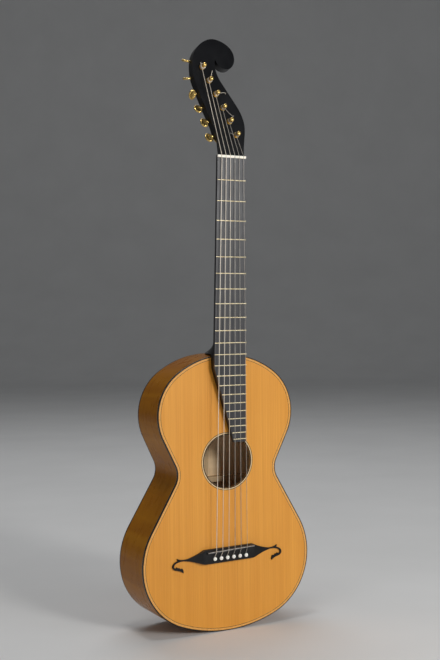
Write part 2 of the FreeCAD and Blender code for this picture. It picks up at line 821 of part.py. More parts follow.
def worm_axis(i):
    """Foot point of the worm beside its gear, and the direction to the button."""
    slope = math.radians(WORM_SLOPES[i])
    outward = V(-math.cos(slope), 0, -math.sin(slope))
    upward = V(-math.sin(slope), 0, math.cos(slope))
    foot = post_at(i) + upward * size("gear_reach") + V(0, size("gear_depth"), 0)
    return foot, outward


def shaft_length(i):
    """Distance from the worm's middle to the middle of the button, just clear of the head."""
    foot, outward = worm_axis(i)
    for (x_0, z_0), (x_1, z_1) in zip(LEFT_EDGE, LEFT_EDGE[1:]):
        span_x, span_z = x_1 - x_0, z_1 - z_0
        across = outward.x * span_z - outward.z * span_x
        share = ((foot.z - z_0) * outward.x - (foot.x - x_0) * outward.z) / across
        if 0 <= share <= 1:
            edge = (x_0 + share * span_x - foot.x) / outward.x
            return edge + BUTTON_GAP + BUTTON_WIDE / 2
    raise ValueError("the worm axis misses the head's edge")


WORM_HALF = 5.0
JOURNAL = 4.0
BUSH_OUTER = 4.2
BUSH_FLANGE = 4.8


# the wood behind the nut is cut away to meet the V of the neck: (front x, rear x) of each cut at its ends
NAPE_BASS = ((-22.5, -9.0), (-42.0, -27.5))
NAPE_TREBLE = ((30.5, 17.5), (52.0, 36.0))
NAPE_FRONT = 0.5
NAPE_LOW = 22.0
NAPE_HIGH = 43.0
NAPE_FAR = 60.0


def nape_cut(ends, side):
    """Material behind the nut on one side: a straight run, then a run-out to nothing."""
    rear = size("head_thick") + 1

    def section(front_x, rear_x, height):
        corners = [V(front_x, NAPE_FRONT, height), V(rear_x, rear, height)]
        corners += [V(side * NAPE_FAR, rear, height), V(side * NAPE_FAR, NAPE_FRONT, height)]
        return Part.makePolygon(corners + corners[:1])

    low = [section(*ends[0], z) for z in (-5.0, NAPE_LOW)]
    high = [low[1], section(*ends[1], NAPE_HIGH)]
    return Part.makeLoft(low, True, True).fuse(Part.makeLoft(high, True, True))


def make_headstock(below_nut):
    body = doc.addObject("PartDesign::Body", "headstock_body")
    sketch = sketch_on(body, "headstock_sketch", "XZ_Plane", [head_outline()])
    pad = body.newObject("PartDesign::Pad", "headstock_pad")
    pad.Profile = sketch
    pad.Reversed = True
    pad.setExpression("Length", aliases("head_thick"))
    body.Placement = head_place
    tools = []
    web = size("head_web")
    thick = size("head_thick")
    for i in range(STRINGS):
        at = post_at(i)
        tools.append(cylinder(BUSH_OUTER, web + 1, at - V(0, 1, 0), V(0, 1, 0)))
        tools.append(cylinder(size("gear_radius") + 1.2, thick, V(at.x, web, at.z), V(0, 1, 0)))
        foot, outward = worm_axis(i)
        room = size("worm_radius") + 0.9
        start = foot - outward * (WORM_HALF + 0.6)
        long = 2 * WORM_HALF + 1.2
        tools.append(cylinder(room, long, start, outward))
        side = V(outward.z, 0, -outward.x)
        corners = [start + side * room, start - side * room]
        corners += [p + outward * long for p in reversed(corners)]
        slot = Part.Face(Part.makePolygon(corners + corners[:1]))
        tools.append(slot.extrude(V(0, thick, 0)))
        tools.append(cylinder(size("shaft_radius") + 0.05, 60, foot, outward))
        inner = foot - outward * (WORM_HALF + JOURNAL + 0.6)
        tools.append(cylinder(size("shaft_radius") + 0.05, JOURNAL + 2, inner, outward))
    tools += [nape_cut(NAPE_BASS, -1), nape_cut(NAPE_TREBLE, 1)]
    cavities = solid("head_cavities", tools[0].fuse(tools[1:]), head_place)
    finish("headstock", boolean("Cut", "headstock_cut", body, cavities, below_nut))


COVER_INSET = 1.2
COVER_LOW = 24.0
COVER_HIGH = 172.0
COVER_TREBLE = 12.5
COVER_FOOT = 20.5
COVER_STEPS = 12


SCREW_INSET = 3.4
SCREW_CAP = 2.1
SCREW_RISE = 1.0
SCREW_BEVEL = 0.35
SCREW_SLOT = 0.5


def cover_x(height):
    """Bass edge of the cover plate: the head's own rear edge, moved in a little."""
    share = (height - NAPE_LOW) / (NAPE_HIGH - NAPE_LOW)
    nape = NAPE_BASS[0][1] - 1 + share * (NAPE_BASS[1][1] - NAPE_BASS[0][1])
    edge = LEFT_EDGE
    for (x_0, z_0), (x_1, z_1) in zip(edge, edge[1:]):
        if z_0 <= height <= z_1:
            side = x_0 + (x_1 - x_0) * (height - z_0) / (z_1 - z_0)
            return max(side, nape) + COVER_INSET
    raise ValueError(height)


def make_cover():
    """Brass plate that closes the back of the tuners, with six small screws."""
    run = COVER_HIGH - 6 - COVER_LOW
    heights = [COVER_LOW + run * k / COVER_STEPS for k in range(COVER_STEPS + 1)]
    bass = [V(cover_x(z), z, 0) for z in heights]
    edge = Part.BSplineCurve()
    edge.interpolate(bass)
    slant = POST_STEP[0] / POST_STEP[1]
    low_x = POST_LOW[0] + COVER_TREBLE
    high_x = POST_LOW[0] + slant * (COVER_HIGH - 14 - POST_LOW[1]) + COVER_TREBLE
    treble = [V(COVER_FOOT, COVER_LOW, 0), V(low_x, POST_LOW[1], 0), V(high_x, COVER_HIGH - 14, 0)]
    crown = V((bass[-1].x + high_x) / 2, COVER_HIGH - 1, 0)
    loop = [
        edge,
        Part.Arc(bass[-1], crown, treble[2]),
        Part.LineSegment(treble[2], treble[1]),
        Part.LineSegment(treble[1], treble[0]),
        Part.LineSegment(treble[0], bass[0]),
    ]
    body = doc.addObject("PartDesign::Body", "tuner_cover_body")
    sketch = sketch_on(body, "tuner_cover_sketch", "XZ_Plane", [loop])
    pad = body.newObject("PartDesign::Pad", "tuner_cover_pad")
    pad.Profile = sketch
    pad.Reversed = True
    pad.setExpression("Length", aliases("cover_thick"))
    body.Placement = head_place.multiply(FreeCAD.Placement(V(0, size("head_thick"), 0), FreeCAD.Rotation()))
    finish("tuner_cover", body)

    screws = []
    rear = size("head_thick") + size("cover_thick")
    spots = [(cover_x(z) + SCREW_INSET, z) for z in (31, 74, 120, 160)]
    treble = POST_LOW[0] + COVER_TREBLE - SCREW_INSET
    spots += [(treble + slant * (z - POST_LOW[1]), z) for z in (38, 85, 148)]
    for x, z in spots:
        head = cylinder(SCREW_CAP, SCREW_RISE, V(x, rear, z), V(0, 1, 0))
        rim = [e for e in head.Edges if e.CenterOfMass.y > rear + SCREW_RISE - 0.01 and len(e.Vertexes) == 1]
        head = head.makeChamfer(SCREW_BEVEL, rim)
        slot = Part.makeBox(2 * SCREW_CAP + 1, SCREW_RISE, SCREW_SLOT,
                            V(x - SCREW_CAP - 0.5, rear + SCREW_RISE / 2, z - SCREW_SLOT / 2))
        screws.append(head.cut(slot))
    finish("cover_screws", solid("cover_screw_heads", Part.makeCompound(screws), head_place))


def make_bushes():
    """Brass ferrules in which the string posts turn."""
    rings = []
    for i in range(STRINGS):
        at = post_at(i)
        sleeve = cylinder(BUSH_OUTER, size("head_web"), at, V(0, 1, 0))
        flange = cylinder(BUSH_FLANGE, 0.7, at - V(0, 0.7, 0), V(0, 1, 0))
        bore = cylinder(size("post_radius") + 0.05, 20, at - V(0, 5, 0), V(0, 1, 0))
        rings.append(sleeve.fuse(flange).cut(bore).removeSplitter())
    finish("post_bushes", solid("post_bush_rings", Part.makeCompound(rings), head_place))


# ------------------------------------------------------------------- tuners
GEAR_HALF = 1.7


def gear_wheel():
    """Toothed wheel of a post, cut shallow so that it clears the worm."""
    teeth = int(size("gear_teeth"))
    tip = size("gear_radius")
    root = tip - 1.1
    points = []
    for k in range(teeth):
        for share, radius in ((-0.38, root), (-0.2, tip), (0.2, tip), (0.38, root)):
            angle = 2 * math.pi * (k + share) / teeth
            across, up = radius * math.cos(angle), radius * math.sin(angle)
            points.append(V(across, size("gear_depth") - GEAR_HALF, up))
    face = Part.Face(Part.makePolygon(points + points[:1]))
    return face.extrude(V(0, 2 * GEAR_HALF, 0))


def make_posts():
    """String post with a knob on top, a cross hole for the string and its gear wheel."""
    radius = size("post_radius")
    high = size("post_high")
    waist = radius - 0.5
    end = size("gear_depth") + 3.4
    step = size("head_web") + 0.2
    corners = [(0, end), (waist, end), (waist, step), (radius, step)]
    corners += [(radius, -high + 2.6), (radius + 0.4, -high + 2.2)]
    stem = turned(corners, (radius * 0.8, -high + 0.6), (EYE, -high))
    eye = cylinder(0.7, 12, V(-6, -size("wind_height") + 3.1, 0), V(1, 0, 0))
    post = stem.fuse(gear_wheel()).cut(eye)
    for i in range(STRINGS):
        place = head_place.multiply(FreeCAD.Placement(post_at(i), FreeCAD.Rotation()))
        finish("string_post_%d" % (i + 1), solid("post_%d" % (i + 1), post.copy(), place))


# how far each button is turned about its shaft
BUTTON_TURNS = (-28, -21, 50, 118, 108, 110)


def make_tuners():
    """Worm shafts with an oval thumb button, lying across the head."""
    for i in range(STRINGS):
        foot, outward = worm_axis(i)
        reach = shaft_length(i)
        x_dir = V(1, 0, 0)
        worm = cylinder(size("worm_radius"), 2 * WORM_HALF, x_dir * -WORM_HALF, x_dir)
        rod_long = JOURNAL + WORM_HALF + reach - BUTTON_WIDE / 2 + 3
        rod = cylinder(size("shaft_radius"), rod_long, x_dir * -(WORM_HALF + JOURNAL), x_dir)
        button = Part.makeSphere(1.0)
        stretch = FreeCAD.Matrix()
        stretch.scale(BUTTON_WIDE / 2, BUTTON_LONG / 2, BUTTON_THICK / 2)
        button = button.transformGeometry(stretch)
        button.translate(V(reach, 0, 0))
        shape = worm.fuse([rod, button])
        turn = FreeCAD.Rotation(V(1, 0, 0), BUTTON_TURNS[i])
        aim = FreeCAD.Rotation(V(1, 0, 0), outward)
        place = head_place.multiply(FreeCAD.Placement(foot, aim.multiply(turn)))
        finish("tuner_%d" % (i + 1), solid("worm_shaft_%d" % (i + 1), shape, place))


# --------------------------------------------------------- neck adjustment
SCREW_SHOULDER = 447.0
# height at which the bore widens for the key
KEY_SEAT = 452.6
SCREW_HEAD = 2.4
SQUARE = 3.2
SQUARE_HIGH = 2.2
SCREW_TIP = 402.0
NUT_PLATE = 3.0


def make_neck_screw():
    """Square-headed screw, turned by a clock key through the heel."""
    up = V(0, 0, 1)
    at = V(0, size("screw_y"), 0)
    shank = cylinder(size("screw_radius"), SCREW_SHOULDER - SCREW_TIP, at + up * SCREW_TIP, up)
    head = cylinder(size("head_bore") - 0.15, SCREW_HEAD, at + up * (SCREW_SHOULDER + 0.05), up)
    low = at + V(-SQUARE / 2, -SQUARE / 2, SCREW_SHOULDER + SCREW_HEAD)
    square = Part.makeBox(SQUARE, SQUARE, SQUARE_HIGH, low)
    neck = cylinder(size("screw_radius"), 1, at + up * SCREW_SHOULDER, up)
    finish("neck_screw", solid("neck_screw_turned", shank.fuse([head, square, neck])))


def make_fulcrum():
    """Steel rod on the rim, on which the heel rocks."""
    rod = doc.addObject("Part::Cylinder", "fulcrum_cylinder")
    rod.setExpression("Radius", aliases("rod_radius"))
    rod.Height = 36
    rod.Placement = FreeCAD.Placement(V(-18, 0, 0), FreeCAD.Rotation(V(0, 1, 0), 90))
    rod.setExpression("Placement.Base.y", aliases("rod_y"))
    rod.setExpression("Placement.Base.z", aliases("body_length+0.2"))
    finish("fulcrum_rod", rod)


def rod_room(name, clear):
    at = V(-18 - clear, size("rod_y"), size("body_length") + 0.2)
    return solid(name, cylinder(size("rod_radius") + clear, 36 + 2 * clear, at, V(1, 0, 0)))


def make_nut_plate():
    """Brass plate with the screw's thread, let into the inner face of the neck block."""
    low = ("-13", "screw_y-8", "neck_block_low")
    high = ("13", "screw_y+8", "neck_block_low+%g" % NUT_PLATE)
    seat = box("nut_plate_blank", low, high)
    bore = cylinder(size("screw_radius") + 0.45, 20, V(0, size("screw_y"), 400), V(0, 0, 1))
    hole = solid("nut_plate_hole", bore)
    finish("screw_nut_plate", boolean("Cut", "nut_plate_bored", seat, hole))
    return seat


# ------------------------------------------------------------------ strings
def bend(points, radii):
    """Straight runs through the points, joined by tangent arcs at the inner ones."""
    edges = []
    start = points[0]
    for k in range(1, len(points) - 1):
        corner = points[k]
        back = (points[k - 1] - corner).normalize()
        ahead = (points[k + 1] - corner).normalize()
        half = back.getAngle(ahead) / 2
        reach = radii[k - 1] / math.tan(half)
        inner = (back + ahead).normalize()
        middle = corner + inner * (radii[k - 1] / math.sin(half) - radii[k - 1])
        entry = corner + back * reach
        leave = corner + ahead * reach
        edges.append(Part.LineSegment(start, entry).toShape())
        edges.append(Part.Arc(entry, middle, leave).toShape())
        start = leave
    edges.append(Part.LineSegment(start, points[-1]).toShape())
    return edges


def tube(edges, radius):
    path = Part.Wire(edges)
    first = edges[0]
    start = first.valueAt(first.FirstParameter)
    along = first.tangentAt(first.FirstParameter)
    circle = Part.Wire(Part.Circle(start, along, radius).toShape())
    shape = path.makePipeShell([circle], True, False)
    expected = math.pi * radius ** 2 * path.Length
    if abs(shape.Volume / expected - 1) > 0.02:
        raise RuntimeError("a string's tube has the wrong volume")
    return shape


def head_to_world(point):
    return head_place.multVec(point)


# clearance of a string over what it rests on, and round its post
REST = 0.04
SADDLE_REST = 0.11
NUT_GROOVE_REST = 0.1


def string_route(i):
    """From below the bridge plate, over saddle and nut, to its post on the bass side."""
    radius = STRING_RADII[i]
    slot_z = size("pin_z") + size("slot_reach") - 0.05
    below = V(pin_x(i), 8.5, slot_z)
    mouth = V(pin_x(i), -size("bridge_high") - radius - 0.4, slot_z)
    x_s = saddle_x(i)
    saddle = V(x_s, -size("saddle_high") - radius - SADDLE_REST, saddle_height_z(x_s) - 0.6)
    nut_floor = board_place.multVec(V(nut_x(i), -NUT_REST - radius - NUT_GROOVE_REST, NUT_LONG - 0.6))
    post = post_at(i)
    wrap = size("post_radius") + radius + REST
    height = -size("wind_height")
    flat_nut = head_place.inverse().multVec(nut_floor)
    run = V(post.x - flat_nut.x, 0, post.z - flat_nut.z)
    distance = run.Length
    swing = math.asin(wrap / distance)
    heading = math.atan2(run.z, run.x) + swing
    side = V(math.cos(heading + math.pi / 2), 0, math.sin(heading + math.pi / 2))
    touch = V(post.x, height, post.z) + side * wrap
    return below, mouth, saddle, nut_floor, touch, side, heading, wrap


def make_strings():
    """Each string is one tube, with its turns on the post as one closed ring."""
    for i in range(STRINGS):
        radius = STRING_RADII[i]
        below, mouth, saddle, nut_floor, touch, side, heading, wrap = string_route(i)
        points = [below, mouth, saddle, nut_floor, head_to_world(touch)]
        edges = bend(points, (1.2, 2.0, 2.0))
        line = tube(edges, radius)
        post = post_at(i)
        top = -size("wind_height") + radius + REST
        turns = 2.5 * 2 * radius
        outer = cylinder(size("post_radius") + REST + 2 * radius, turns, V(post.x, top, post.z), V(0, 1, 0))
        inner = cylinder(size("post_radius") + REST, turns, V(post.x, top, post.z), V(0, 1, 0))
        coil = outer.cut(inner)
        coil.Placement = head_place.multiply(coil.Placement)
        finish("string_%d" % (i + 1), solid("string_line_%d" % (i + 1), Part.makeCompound([line, coil])))
        print("string", i + 1, "length", round(sum(e.Length for e in edges), 1))


# ------------------------------------------------------------------ assembly
def make_all():
    groove = rod_room("fulcrum_groove", 0)
    heel_groove = rod_room("heel_groove", 0.06)
    at = V(0, size("screw_y"), 0)
    up = V(0, 0, 1)
    body_path = solid("screw_path", cylinder(size("screw_radius") + 0.5, 60, at + up * 400, up))
    shank_bore = solid("shank_bore", cylinder(size("screw_radius") + 0.1, 20, at + up * 440, up))
    head_room = cylinder(size("head_bore"), 60, at + up * SCREW_SHOULDER, up)
    key_room = cylinder(size("key_bore"), 60, at + up * KEY_SEAT, up)
    key_bore = solid("key_bore", head_room.fuse(key_room))
    below_body = box("below_body", ("-60", "-60", "300"), ("60", "100", "body_length+heel_gap"))
    above_head = solid("above_nut", Part.makeBox(160, 80, 60, V(-80, -40, 0)), head_place)
    board_lower = Part.makeBox(120, 60, 480, V(-60, size("board_thick"), -480))
    below_board = solid("below_board", board_lower, board_place)
    nut_room = solid("nut_room", Part.makeBox(120, 60, 60, V(-60, -30, -60)), head_place)
    make_soundboard()
    make_inlays()
    make_ribs(groove, body_path)
    make_back()
    nut_seat = make_nut_plate()
    zones = make_blocks(groove, body_path, nut_seat)
    make_linings(*zones)
    make_braces()
    make_bridge_plate()
    make_bridge()
    make_bridge_pins()
    make_fingerboard()
    make_frets()
    make_nut()
    make_neck(heel_groove, key_bore, shank_bore, below_body, above_head)
    make_fingerboard_support(below_board)
    make_headstock(nut_room)
    make_cover()
    make_bushes()
    make_posts()
    make_tuners()
    make_neck_screw()
    make_fulcrum()
    make_strings()


def check_and_write():
    doc.recompute()
    for item in doc.Objects:
        if "Invalid" in item.State or "Error" in item.State:
            raise RuntimeError("%s is in state %s" % (item.Name, item.State))
    for name, item in finished.items():
        if item.Shape.isNull() or not item.Shape.isValid():
            raise RuntimeError(name + " has no valid shape")
        if not item.Shape.Solids:
            raise RuntimeError(name + " has no solid")
    os.makedirs("parts", exist_ok=True)
    for name, item in finished.items():
        item.Shape.exportStep("parts/%s.step" % name)
        print("%-22s %10.1f mm3 %3d solids" % (name, item.Shape.Volume, len(item.Shape.Solids)))
    print(len(finished), "sub-parts written")


make_all()
check_and_write()
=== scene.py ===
"""Looks of a six-string romantic guitar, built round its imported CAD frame. Lengths are in metres."""

import json
import math

import bmesh
import bpy
from mathutils import Matrix, Vector


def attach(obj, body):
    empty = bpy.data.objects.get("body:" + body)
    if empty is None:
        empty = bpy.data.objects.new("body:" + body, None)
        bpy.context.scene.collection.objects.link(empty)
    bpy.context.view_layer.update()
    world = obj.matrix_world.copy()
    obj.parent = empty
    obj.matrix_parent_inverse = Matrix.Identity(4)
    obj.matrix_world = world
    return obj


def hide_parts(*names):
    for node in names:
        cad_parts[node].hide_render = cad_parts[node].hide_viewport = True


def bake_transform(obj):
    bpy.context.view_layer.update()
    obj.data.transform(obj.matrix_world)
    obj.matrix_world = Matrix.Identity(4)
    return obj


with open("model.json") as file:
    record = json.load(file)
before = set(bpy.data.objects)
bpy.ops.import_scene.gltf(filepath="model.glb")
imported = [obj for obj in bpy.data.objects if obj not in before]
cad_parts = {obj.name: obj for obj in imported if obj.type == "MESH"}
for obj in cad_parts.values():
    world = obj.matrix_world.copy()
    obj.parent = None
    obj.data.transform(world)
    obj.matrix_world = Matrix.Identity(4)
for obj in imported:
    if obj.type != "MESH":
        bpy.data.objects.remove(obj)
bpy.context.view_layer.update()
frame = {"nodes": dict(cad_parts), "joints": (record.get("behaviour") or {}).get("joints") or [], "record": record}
scene = bpy.context.scene
nodes = frame["nodes"]
joints = {j["name"]: j for j in frame["joints"]}
STRINGS = 6
MM = 0.001
WELD = 2e-6                      # vertices nearer than this are one
FLAT = math.radians(1.5)         # faces that turn less than this are merged


# ------------------------------------------------------------------ materials
class Finish:
    """A node material under construction, with short calls for the nodes it needs."""

    def __init__(self, name):
        self.mat = bpy.data.materials.new(name)
        self.mat.use_nodes = True
        self.tree = self.mat.node_tree
        self.shader = self.tree.nodes["Principled BSDF"]
        coord = self.tree.nodes.new("ShaderNodeTexCoord")
        self.place = coord.outputs["Object"]

    def node(self, kind, **values):
        item = self.tree.nodes.new(kind)
        for key, value in values.items():
            setattr(item, key, value)
        return item

    def link(self, a, b):
        self.tree.links.new(a, b)

    def stretch(self, x, y, z, offset=(0, 0, 0)):
        """The place in the object, scaled along each axis."""
        item = self.node("ShaderNodeMapping")
        item.inputs["Scale"].default_value = (x, y, z)
        item.inputs["Location"].default_value = offset
        self.link(self.place, item.inputs["Vector"])
        return item.outputs["Vector"]

    def noise(self, vector, scale=1.0, detail=4.0, rough=0.55, warp=0.0):
        item = self.node("ShaderNodeTexNoise")
        item.inputs["Scale"].default_value = scale
        item.inputs["Detail"].default_value = detail
        item.inputs["Roughness"].default_value = rough
        item.inputs["Distortion"].default_value = warp
        self.link(vector, item.inputs["Vector"])
        return item.outputs["Fac"]

    def wave(self, vector, scale, warp, detail=2.0, detail_scale=1.0, direction="X"):
        item = self.node("ShaderNodeTexWave", wave_type="BANDS", bands_direction=direction)
        item.inputs["Scale"].default_value = scale
        item.inputs["Distortion"].default_value = warp
        item.inputs["Detail"].default_value = detail
        item.inputs["Detail Scale"].default_value = detail_scale
        self.link(vector, item.inputs["Vector"])
        return item.outputs["Fac"]

    def ramp(self, factor, stops):
        item = self.node("ShaderNodeValToRGB")
        while len(item.color_ramp.elements) < len(stops):
            item.color_ramp.elements.new(0.5)
        for element, (where, colour) in zip(item.color_ramp.elements, stops):
            element.position = where
            element.color = (*colour, 1.0)
        self.link(factor, item.inputs["Fac"])
        return item.outputs["Color"]

    def remap(self, factor, low, high, out_low, out_high):
        item = self.node("ShaderNodeMapRange")
        item.inputs["From Min"].default_value = low
        item.inputs["From Max"].default_value = high
        item.inputs["To Min"].default_value = out_low
        item.inputs["To Max"].default_value = out_high
        self.link(factor, item.inputs["Value"])
        return item.outputs["Result"]

    def math(self, operation, a, b):
        item = self.node("ShaderNodeMath", operation=operation)
        for socket, value in zip(item.inputs, (a, b)):
            if isinstance(value, (int, float)):
                socket.default_value = value
            else:
                self.link(value, socket)
        return item.outputs["Value"]

    def mix(self, factor, a, b, blend="MIX"):
        item = self.node("ShaderNodeMix", data_type="RGBA", blend_type=blend)
        sockets = [s for s in item.inputs if s.enabled]
        for socket, value in zip(sockets, (factor, a, b)):
            if isinstance(value, tuple):
                socket.default_value = (*value, 1.0)
            elif isinstance(value, (int, float)):
                socket.default_value = value
            else:
                self.link(value, socket)
        return next(s for s in item.outputs if s.enabled)

    def colour(self, value):
        socket = self.shader.inputs["Base Color"]
        if isinstance(value, tuple):
            socket.default_value = (*value, 1.0)
        else:
            self.link(value, socket)

    def roughness(self, value):
        socket = self.shader.inputs["Roughness"]
        if isinstance(value, (int, float)):
            socket.default_value = value
        else:
            self.link(value, socket)

    def set(self, **values):
        for key, value in values.items():
            self.shader.inputs[key.replace("_", " ")].default_value = value

    def bump(self, height, strength, distance):
        item = self.node("ShaderNodeBump")
        item.inputs["Strength"].default_value = strength
        item.inputs["Distance"].default_value = distance
        self.link(height, item.inputs["Height"])
        self.link(item.outputs["Normal"], self.shader.inputs["Normal"])


def spruce_top():
    """Varnished spruce: fine upright grain and soft broad streaks."""
    f = Finish("spruce_top")
    warp = f.noise(f.stretch(4, 4, 3), 1.0, 3.0)
    grain = f.noise(f.stretch(620, 30, 2.2), 1.0, 4.0, 0.62, 0.1)
    fibres = f.noise(f.stretch(1400, 300, 22), 1.0, 5.0, 0.6)
    streaks = f.noise(f.stretch(46, 4, 0.7), 1.0, 3.0, 0.6, 0.3)
    wide = f.noise(f.stretch(7, 3, 4), 1.0, 3.0)
    base = f.ramp(grain, [(0.3, (0.70, 0.305, 0.040)), (0.5, (0.78, 0.355, 0.054)),
                          (0.7, (0.83, 0.395, 0.070))])
    tone = f.ramp(streaks, [(0.28, (0.89, 0.83, 0.70)), (0.72, (1.0, 1.0, 1.0))])
    base = f.mix(1.0, base, tone, "MULTIPLY")
    silk = f.ramp(fibres, [(0.3, (0.93, 0.90, 0.86)), (0.7, (1.02, 1.02, 1.0))])
    base = f.mix(1.0, base, silk, "MULTIPLY")
    patch = f.ramp(wide, [(0.3, (0.93, 0.89, 0.80)), (0.7, (1.0, 1.0, 1.0))])
    base = f.mix(1.0, base, patch, "MULTIPLY")
    f.colour(base)
    f.roughness(f.remap(warp, 0.3, 0.7, 0.28, 0.40))
    f.set(Coat_Weight=0.15, Coat_Roughness=0.2, Specular_IOR_Level=0.3)
    f.bump(f.math("ADD", grain, f.math("MULTIPLY", fibres, 0.6)), 0.14, 0.00008)
    return f.mat


def raw_spruce():
    """Unvarnished spruce of the blocks, linings and braces."""
    f = Finish("raw_spruce")
    grain = f.wave(f.stretch(1, 1, 0.05), 160.0, 3.0, 2.0, 4.0)
    fibres = f.noise(f.stretch(500, 500, 60), 1.0, 4.0)
    base = f.ramp(grain, [(0.0, (0.50, 0.34, 0.18)), (1.0, (0.66, 0.49, 0.29))])
    f.colour(f.mix(0.35, base, f.ramp(fibres, [(0.3, (0.45, 0.30, 0.16)), (0.7, (0.72, 0.55, 0.34))])))
    f.roughness(f.remap(fibres, 0.3, 0.7, 0.7, 0.85))
    f.bump(fibres, 0.3, 0.0001)
    return f.mat


def maple_rib():
    """Amber varnish over bent maple, with a faint flame across the ribs."""
    f = Finish("maple_rib")
    flame = f.noise(f.stretch(9, 4, 46, (3, 1, 0)), 1.0, 3.0, 0.5, 0.5)
    figure = f.noise(f.stretch(60, 60, 9), 1.0, 4.0, 0.6)
    pores = f.noise(f.stretch(900, 900, 90), 1.0, 4.0, 0.6)
    base = f.ramp(flame, [(0.28, (0.34, 0.122, 0.002)), (0.5, (0.41, 0.160, 0.003)),
                          (0.74, (0.47, 0.200, 0.007))])
    tone = f.ramp(figure, [(0.3, (0.88, 0.82, 0.72)), (0.7, (1.02, 1.0, 1.0))])
    base = f.mix(1.0, base, tone, "MULTIPLY")
    speck = f.ramp(pores, [(0.35, (0.88, 0.84, 0.80)), (0.6, (1.0, 1.0, 1.0))])
    f.colour(f.mix(1.0, base, speck, "MULTIPLY"))
    f.roughness(f.remap(figure, 0.3, 0.7, 0.24, 0.34))
    f.set(Coat_Weight=0.05, Coat_Roughness=0.12, Specular_IOR_Level=0.08)
    f.bump(f.math("ADD", pores, flame), 0.08, 0.00006)
    return f.mat


def maple_inside():
    """The bare inner face of the back."""
    f = Finish("maple_inside")
    flame = f.noise(f.stretch(14, 5, 80), 1.0, 3.0, 0.5, 0.5)
    pores = f.noise(f.stretch(700, 300, 60), 1.0, 4.0)
    base = f.ramp(flame, [(0.3, (0.76, 0.54, 0.31)), (0.7, (0.88, 0.66, 0.41))])
    f.colour(f.mix(0.4, base, f.ramp(pores, [(0.3, (0.62, 0.44, 0.24)), (0.7, (0.90, 0.70, 0.45))])))
    f.roughness(f.remap(pores, 0.3, 0.7, 0.6, 0.8))
    f.bump(pores, 0.2, 0.00008)
    return f.mat


def pale_maple(name, dark, light):
    """Maple strip of an inlay."""
    f = Finish(name)
    figure = f.noise(f.stretch(240, 240, 240), 1.0, 4.0, 0.6)
    f.colour(f.ramp(figure, [(0.3, dark), (0.7, light)]))
    f.roughness(f.remap(figure, 0.3, 0.7, 0.24, 0.36))
    f.set(Coat_Weight=0.35, Coat_Roughness=0.15)
    f.bump(figure, 0.1, 0.00005)
    return f.mat


def black_wood(name, shade, rough_low, rough_high, coat):
    """Wood stained black: a fine open grain under a thin polish, worn grey on its high spots."""
    f = Finish(name)
    grain = f.noise(f.stretch(420, 420, 26), 1.0, 5.0, 0.6, 0.3)
    wear = f.noise(f.stretch(26, 26, 14), 1.0, 4.0, 0.6)
    low = tuple(0.75 * c for c in shade)
    high = tuple(1.5 * c for c in shade)
    f.colour(f.mix(f.remap(wear, 0.45, 0.75, 0.0, 0.6), f.ramp(grain, [(0.3, low), (0.7, shade)]), high))
    f.roughness(f.remap(wear, 0.3, 0.7, rough_low, rough_high))
    f.set(Coat_Weight=coat, Coat_Roughness=0.22, Specular_IOR_Level=0.25)
    f.bump(grain, 0.16, 0.00008)
    return f.mat


def ebony_board():
    """Bare ebony, greyed between the frets where fingers polish it."""
    f = Finish("ebony_board")
    grain = f.noise(f.stretch(700, 300, 12), 1.0, 5.0, 0.65, 0.2)
    streak = f.noise(f.stretch(160, 60, 4), 1.0, 4.0, 0.6, 0.3)
    wear = f.noise(f.stretch(60, 20, 34), 1.0, 3.0)
    base = f.ramp(streak, [(0.3, (0.008, 0.008, 0.011)), (0.5, (0.018, 0.018, 0.023)),
                           (0.75, (0.048, 0.044, 0.045))])
    lines = f.ramp(grain, [(0.35, (0.72, 0.72, 0.74)), (0.65, (1.1, 1.1, 1.12))])
    f.colour(f.mix(1.0, base, lines, "MULTIPLY"))
    f.roughness(f.remap(wear, 0.3, 0.7, 0.34, 0.5))
    f.set(Specular_IOR_Level=0.6)
    f.bump(grain, 0.3, 0.0001)
    return f.mat


def bone(name, colour):
    """Polished bone with faint warm veins."""
    f = Finish(name)
    veins = f.noise(f.stretch(260, 700, 700), 1.0, 4.0, 0.6)
    warm = tuple(c * k for c, k in zip(colour, (0.95, 0.90, 0.80)))
    f.colour(f.ramp(veins, [(0.35, warm), (0.6, colour)]))
    f.roughness(f.remap(veins, 0.3, 0.7, 0.22, 0.34))
    f.set(Subsurface_Weight=0.05, Subsurface_Scale=0.001)
    f.bump(veins, 0.06, 0.00004)
    return f.mat


def metal(name, colour, dark, rough_low, rough_high):
    """Handled metal: tarnish in patches and fine scratches."""
    f = Finish(name)
    tarnish = f.noise(f.stretch(190, 190, 190), 1.0, 5.0, 0.65)
    scratch = f.noise(f.stretch(2200, 500, 900), 1.0, 3.0)
    f.colour(f.mix(f.remap(tarnish, 0.42, 0.7, 0.0, 0.85), colour, dark))
    f.roughness(f.remap(tarnish, 0.3, 0.7, rough_low, rough_high))
    f.set(Metallic=1.0)
    f.bump(scratch, 0.08, 0.00003)
    return f.mat


def wound_string():
    """Silver-plated winding: fine turns close together along the string."""
    f = Finish("wound_string")
    turns = f.wave(f.stretch(0.02, 0.02, 1), 520.0, 0.0, 0.0, 1.0, "Z")
    dirt = f.noise(f.stretch(200, 200, 40), 1.0, 3.0)
    f.colour(f.mix(f.remap(dirt, 0.4, 0.7, 0.0, 0.5), (0.80, 0.73, 0.63), (0.55, 0.46, 0.36)))
    f.roughness(f.remap(dirt, 0.3, 0.7, 0.34, 0.48))
    f.set(Metallic=0.45)
    f.bump(turns, 0.35, 0.00006)
    return f.mat


